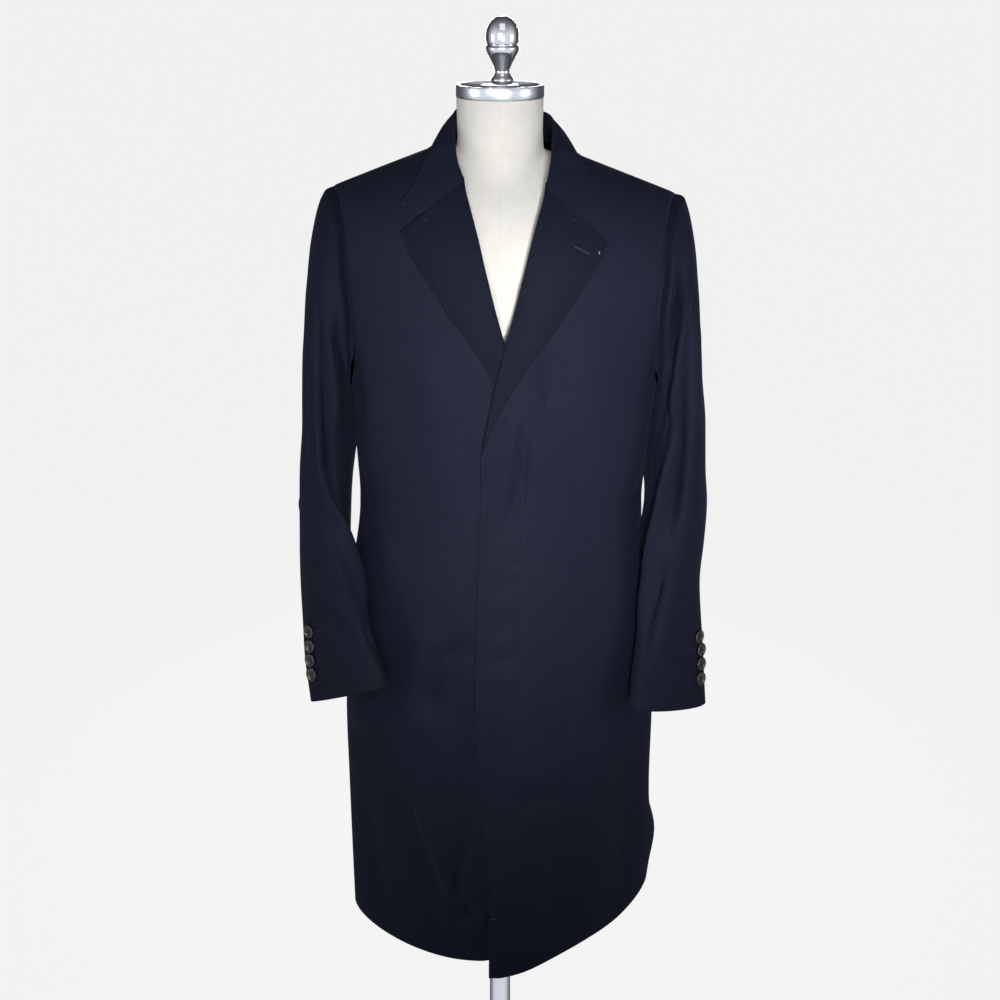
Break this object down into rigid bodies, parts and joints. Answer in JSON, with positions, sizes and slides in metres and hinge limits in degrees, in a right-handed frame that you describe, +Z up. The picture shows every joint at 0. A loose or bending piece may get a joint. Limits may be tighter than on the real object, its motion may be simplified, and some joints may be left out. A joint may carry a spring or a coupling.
{
  "type": "wool overcoat on a limbless dress form",
  "caption": "Knee-length single-breasted navy wool overcoat with notched lapels and a fly front, worn by a limbless dress form on a round-based pole stand.",
  "frame": {"origin": "on the floor, under the middle of the stand's base", "axes": "+Z up; the coat faces -Y; the wearer's left side is at +X"},
  "size_m": [0.5593, 0.352, 1.678],
  "materials": {
    "overcoating": "very dark navy wool twill with a soft satin sheen",
    "horn": "dark marbled horn, polished",
    "canvas": "cream cotton canvas, matte",
    "turned_aluminium": "turned aluminium, satin",
    "polished_metal": "polished",
    "satin_steel": "satin",
    "painted_base": "grey paint, satin"
  },
  "bodies": {
    "root": {"front_left": "overcoating", "front_right": "overcoating", "back_left": "overcoating", "back_right": "overcoating", "lapel_left": "overcoating", "lapel_right": "overcoating", "collar": "overcoating", "sleeve_top_left": "overcoating", "sleeve_top_right": "overcoating", "sleeve_under_left": "overcoating", "sleeve_under_right": "overcoating", "pocket_welt_left": "overcoating", "pocket_welt_right": "overcoating", "cuff_button_left_1": "horn", "cuff_button_left_2": "horn", "cuff_button_left_3": "horn", "cuff_button_left_4": "horn", "cuff_button_right_1": "horn", "cuff_button_right_2": "horn", "cuff_button_right_3": "horn", "cuff_button_right_4": "horn", "form_torso": "canvas", "form_neck_cap": "turned_aluminium", "form_finial": "polished_metal", "stand_pole": "satin_steel", "stand_base": "painted_base"}
  },
  "joints": []
}
